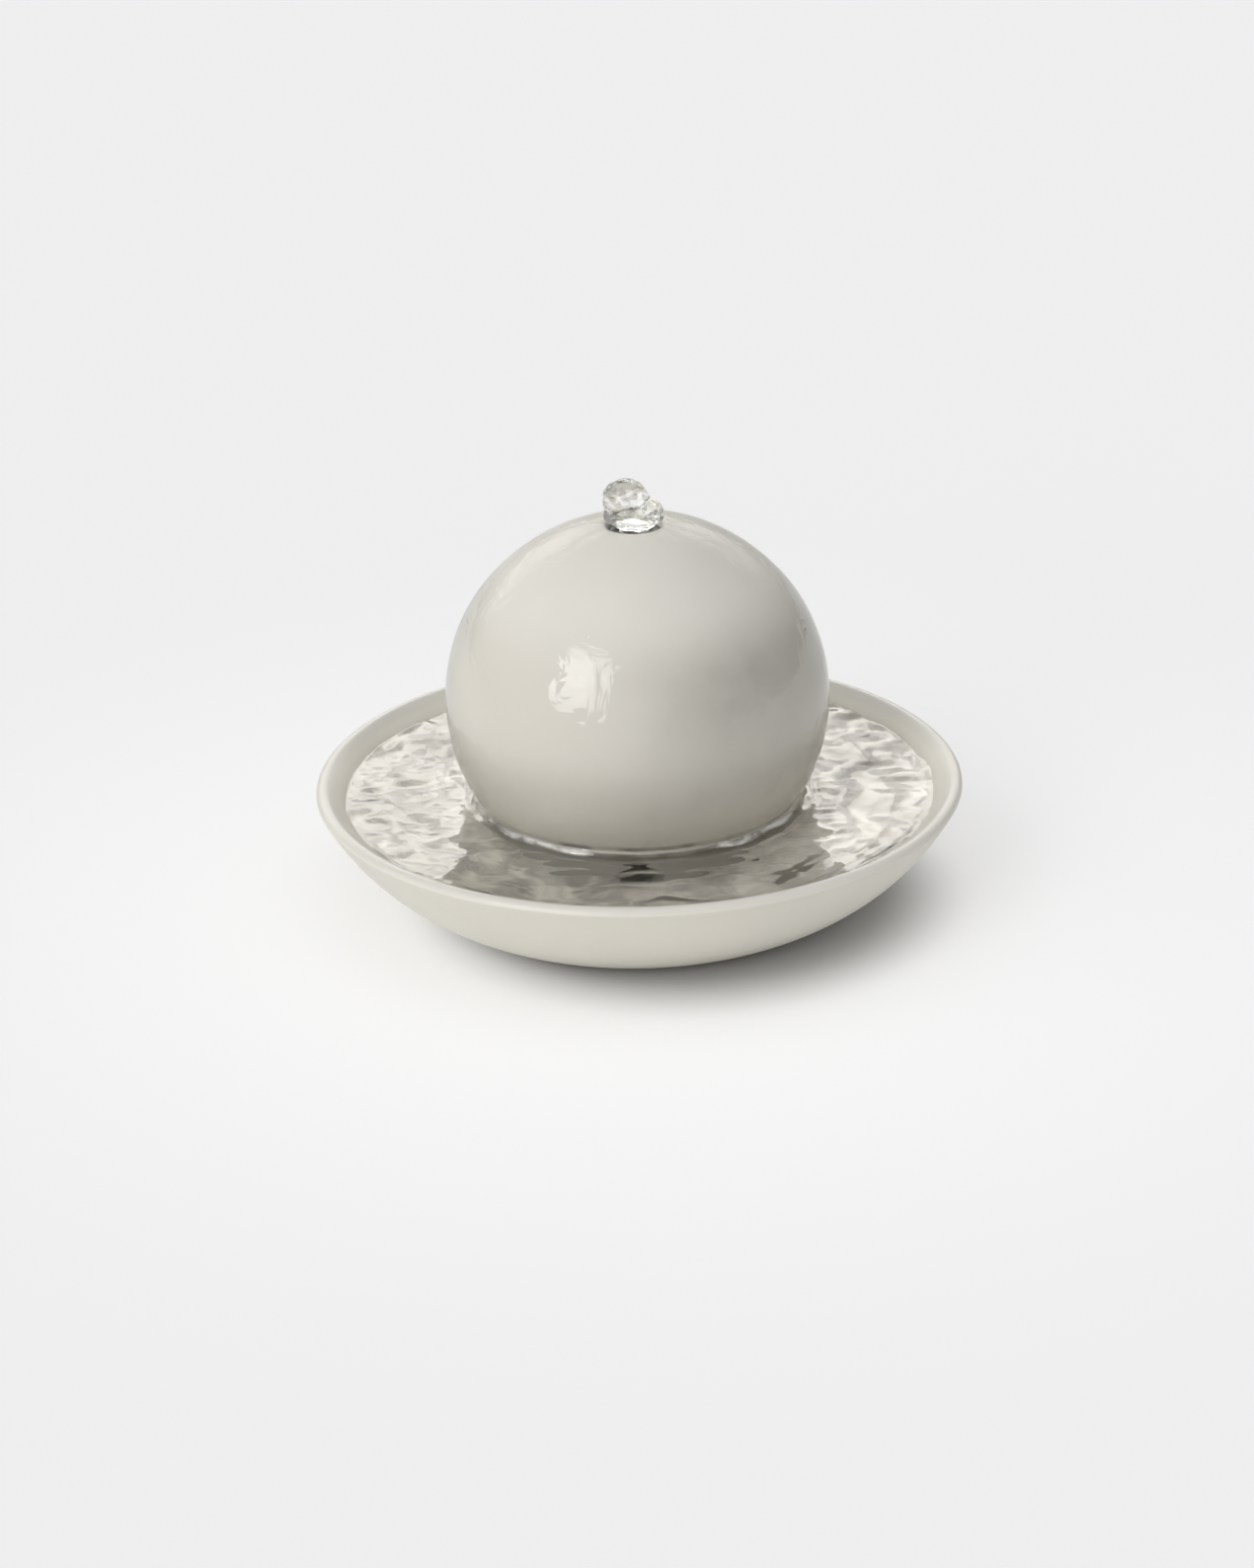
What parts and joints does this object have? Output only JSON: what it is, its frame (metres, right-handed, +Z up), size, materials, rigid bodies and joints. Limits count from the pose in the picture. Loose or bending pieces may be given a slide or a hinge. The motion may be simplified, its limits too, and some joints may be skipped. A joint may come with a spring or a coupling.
{
  "type": "tabletop water fountain",
  "caption": "Tabletop fountain: a hollow glazed ball stands in a shallow round basin, and a pump under it lifts water through a tube to the hole in its crown.",
  "frame": {"origin": "on the surface the fountain stands on, under the middle of the basin", "axes": "+Z up along the basin's and the ball's shared axis; -Y is the front, which the pump's strainer faces; +X to the right"},
  "size_m": [0.254, 0.254, 0.1714],
  "materials": {
    "basin_glaze": "satin",
    "ball_glaze": "gloss",
    "clear_silicone": "satin",
    "dark_silicone": "satin",
    "black_plastic": "satin",
    "black_resin": "gloss",
    "white_plastic": "satin",
    "laminated_steel": "satin",
    "copper_wire": "satin",
    "ferrite": "satin",
    "bright_steel": "polished",
    "black_foam": "matte",
    "clear_vinyl": "gloss",
    "water": "gloss"
  },
  "bodies": {
    "basin": {"basin": "basin_glaze", "foot_pad_1": "clear_silicone", "foot_pad_2": "clear_silicone", "foot_pad_3": "clear_silicone", "foot_pad_4": "clear_silicone", "water_pool": "water", "riser_tube": "clear_vinyl", "pump_housing": "black_plastic", "chamber_cover": "black_plastic", "chamber_seal": "dark_silicone", "stator_core": "laminated_steel", "coil": "copper_wire", "potting_plug": "black_resin", "cable_gland": "dark_silicone", "impeller_shaft": "bright_steel", "front_bush": "dark_silicone", "rear_bush": "dark_silicone", "suction_cup_1": "dark_silicone", "suction_cup_2": "dark_silicone", "suction_cup_3": "dark_silicone", "suction_cup_4": "dark_silicone"},
    "ball": {"dome": "ball_glaze", "outlet_grommet": "dark_silicone", "water_bubble": "water"},
    "rotor": {"impeller": "white_plastic", "rotor_magnet": "ferrite"},
    "strainer": {"strainer_cover": "black_plastic", "filter_sponge": "black_foam"},
    "dial": {"flow_dial": "white_plastic"}
  },
  "joints": [
    {"name": "dome_lift", "type": "slide", "parent": "basin", "child": "ball", "axis": [0, 0, 1], "range_m": [0, 0.16]},
    {"name": "impeller_spin", "type": "hinge", "parent": "basin", "child": "rotor", "pos_m": [0, 0.006, 0.025], "axis": [0, 1, 0], "continuous": true},
    {"name": "strainer_slide", "type": "slide", "parent": "basin", "child": "strainer", "axis": [0, -1, 0], "range_m": [0, 0.016]},
    {"name": "flow_dial_turn", "type": "hinge", "parent": "strainer", "child": "dial", "pos_m": [0, -0.019, 0.025], "axis": [0, 1, 0], "range_deg": [0, 45]}
  ]
}
